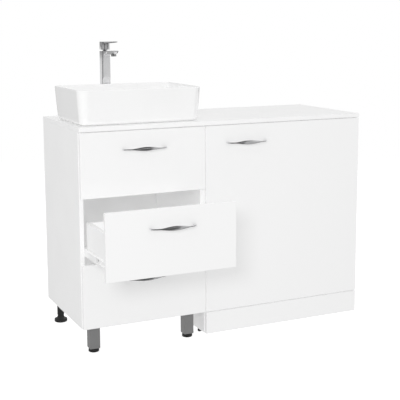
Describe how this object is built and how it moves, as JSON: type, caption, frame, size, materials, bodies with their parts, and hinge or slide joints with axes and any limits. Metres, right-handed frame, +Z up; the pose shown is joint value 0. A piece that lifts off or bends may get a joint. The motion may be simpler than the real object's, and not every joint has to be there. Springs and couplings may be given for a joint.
{
  "type": "vessel sink vanity",
  "caption": "Bathroom vanity with a rectangular vessel basin and tall lever mixer over a drawer unit on legs, beside a door-fronted washing machine housing under one countertop.",
  "frame": {"origin": "on the floor, under the middle of the box around the whole object with its middle drawer pulled out as stored", "axes": "+X to the right along the countertop, +Y back to the wall, +Z up; the fronts face -Y"},
  "size_m": [1.2, 0.756, 1.149],
  "materials": {
    "gloss_front": "white gloss lacquered board",
    "white_board": "white melamine faced chipboard with white edging",
    "worktop": "white laminated chipboard, satin",
    "thin_board": "thin fibreboard, white one side",
    "runner_enamel": "white baked enamel on steel",
    "grey_steel": "grey powder coat",
    "black_plastic": "black moulded plastic",
    "zinc_steel": "bright zinc plated steel",
    "nickel_hinge": "nickel plated pressed steel",
    "chrome": "polished chrome plate",
    "aerator_chrome": "chrome shell with a dark insert",
    "glazed_ceramic": "white glossy glaze",
    "sealant": "white sanitary sealant",
    "white_plastic": "white polypropylene"
  },
  "bodies": {
    "cabinet": {"plinth_panel": "gloss_front", "drawer_unit_left_side": "white_board", "drawer_unit_right_side": "white_board", "drawer_unit_bottom": "white_board", "drawer_unit_rails": "white_board", "washer_unit_left_side": "white_board", "washer_unit_right_side": "white_board", "washer_unit_rails": "white_board", "countertop": "worktop", "drawer_unit_back": "thin_board", "cabinet_runners": "runner_enamel", "front_legs": "grey_steel", "rear_legs": "black_plastic", "glides": "black_plastic", "plinth_brackets": "zinc_steel", "leg_screws": "zinc_steel", "mixer_fixing_kit": "zinc_steel", "hinge_arms": "nickel_hinge", "mixer_body": "chrome", "mixer_base_ring": "chrome", "waste_flange": "chrome", "waste_body": "chrome", "mixer_aerator": "aerator_chrome", "basin": "glazed_ceramic", "basin_seal": "sealant", "trap_pipes": "white_plastic", "trap_body": "white_plastic", "trap_nuts": "white_plastic", "mixer_cartridge": "white_plastic"},
    "front_left_foot": {"front_left_foot": "black_plastic"},
    "front_right_foot": {"front_right_foot": "black_plastic"},
    "rear_left_foot": {"rear_left_foot": "black_plastic"},
    "rear_right_foot": {"rear_right_foot": "black_plastic"},
    "door": {"door": "gloss_front", "door_handle": "chrome", "hinge_cups": "nickel_hinge"},
    "waste_plug": {"waste_plug": "chrome"},
    "mixer_ball": {"mixer_ball": "chrome"},
    "mixer_lever": {"mixer_lever": "chrome"},
    "upper_drawer": {"upper_drawer_front": "gloss_front", "upper_drawer_sides": "white_board", "upper_drawer_back": "white_board", "upper_drawer_base": "thin_board", "upper_drawer_handle": "chrome", "upper_drawer_runners": "runner_enamel"},
    "upper_middle_runners": {"upper_middle_runners": "runner_enamel"},
    "middle_drawer": {"middle_drawer_front": "gloss_front", "middle_drawer_sides": "white_board", "middle_drawer_back": "white_board", "middle_drawer_base": "thin_board", "middle_drawer_handle": "chrome", "middle_drawer_runners": "runner_enamel"},
    "middle_middle_runners": {"middle_middle_runners": "runner_enamel"},
    "lower_drawer": {"lower_drawer_front": "gloss_front", "lower_drawer_sides": "white_board", "lower_drawer_back": "white_board", "lower_drawer_base": "thin_board", "lower_drawer_handle": "chrome", "lower_drawer_runners": "runner_enamel"},
    "lower_middle_runners": {"lower_middle_runners": "runner_enamel"}
  },
  "joints": [
    {"name": "upper_drawer_slide", "type": "slide", "parent": "cabinet", "child": "upper_drawer", "axis": [0, -1, 0], "range_m": [0, 0.258]},
    {"name": "upper_runner_slide", "type": "slide", "parent": "cabinet", "child": "upper_middle_runners", "axis": [0, -1, 0], "range_m": [0, 0.129]},
    {"name": "middle_drawer_slide", "type": "slide", "parent": "cabinet", "child": "middle_drawer", "axis": [0, -1, 0], "range_m": [-0.258, 0]},
    {"name": "middle_runner_slide", "type": "slide", "parent": "cabinet", "child": "middle_middle_runners", "axis": [0, -1, 0], "range_m": [-0.129, 0]},
    {"name": "lower_drawer_slide", "type": "slide", "parent": "cabinet", "child": "lower_drawer", "axis": [0, -1, 0], "range_m": [0, 0.258]},
    {"name": "lower_runner_slide", "type": "slide", "parent": "cabinet", "child": "lower_middle_runners", "axis": [0, -1, 0], "range_m": [0, 0.129]},
    {"name": "door_hinge", "type": "hinge", "parent": "cabinet", "child": "door", "pos_m": [0.593, -0.084, 0.466], "axis": [0, 0, 1], "range_deg": [0, 110]},
    {"name": "mixer_swivel", "type": "hinge", "parent": "cabinet", "child": "mixer_ball", "pos_m": [-0.35, 0.328, 1.109], "axis": [0, 0, 1], "range_deg": [-45, 45]},
    {"name": "mixer_lift", "type": "hinge", "parent": "mixer_ball", "child": "mixer_lever", "pos_m": [-0.35, 0.328, 1.1185], "axis": [-1, 0, 0], "range_deg": [0, 25]},
    {"name": "waste_plug_lift", "type": "slide", "parent": "cabinet", "child": "waste_plug", "axis": [0, 0, 1], "range_m": [0, 0.008]},
    {"name": "front_left_foot_turn", "type": "hinge", "parent": "cabinet", "child": "front_left_foot", "pos_m": [-0.547, -0.047, 0.01], "axis": [0, 0, 1], "continuous": true},
    {"name": "front_right_foot_turn", "type": "hinge", "parent": "cabinet", "child": "front_right_foot", "pos_m": [-0.162, -0.047, 0.01], "axis": [0, 0, 1], "continuous": true},
    {"name": "rear_left_foot_turn", "type": "hinge", "parent": "cabinet", "child": "rear_left_foot", "pos_m": [-0.556, 0.35, 0.01], "axis": [0, 0, 1], "continuous": true},
    {"name": "rear_right_foot_turn", "type": "hinge", "parent": "cabinet", "child": "rear_right_foot", "pos_m": [-0.144, 0.35, 0.01], "axis": [0, 0, 1], "continuous": true}
  ],
  "couplings": [
    {"joint": "upper_runner_slide", "follows": "upper_drawer_slide", "ratio": 0.5},
    {"joint": "middle_runner_slide", "follows": "middle_drawer_slide", "ratio": 0.5},
    {"joint": "lower_runner_slide", "follows": "lower_drawer_slide", "ratio": 0.5}
  ]
}
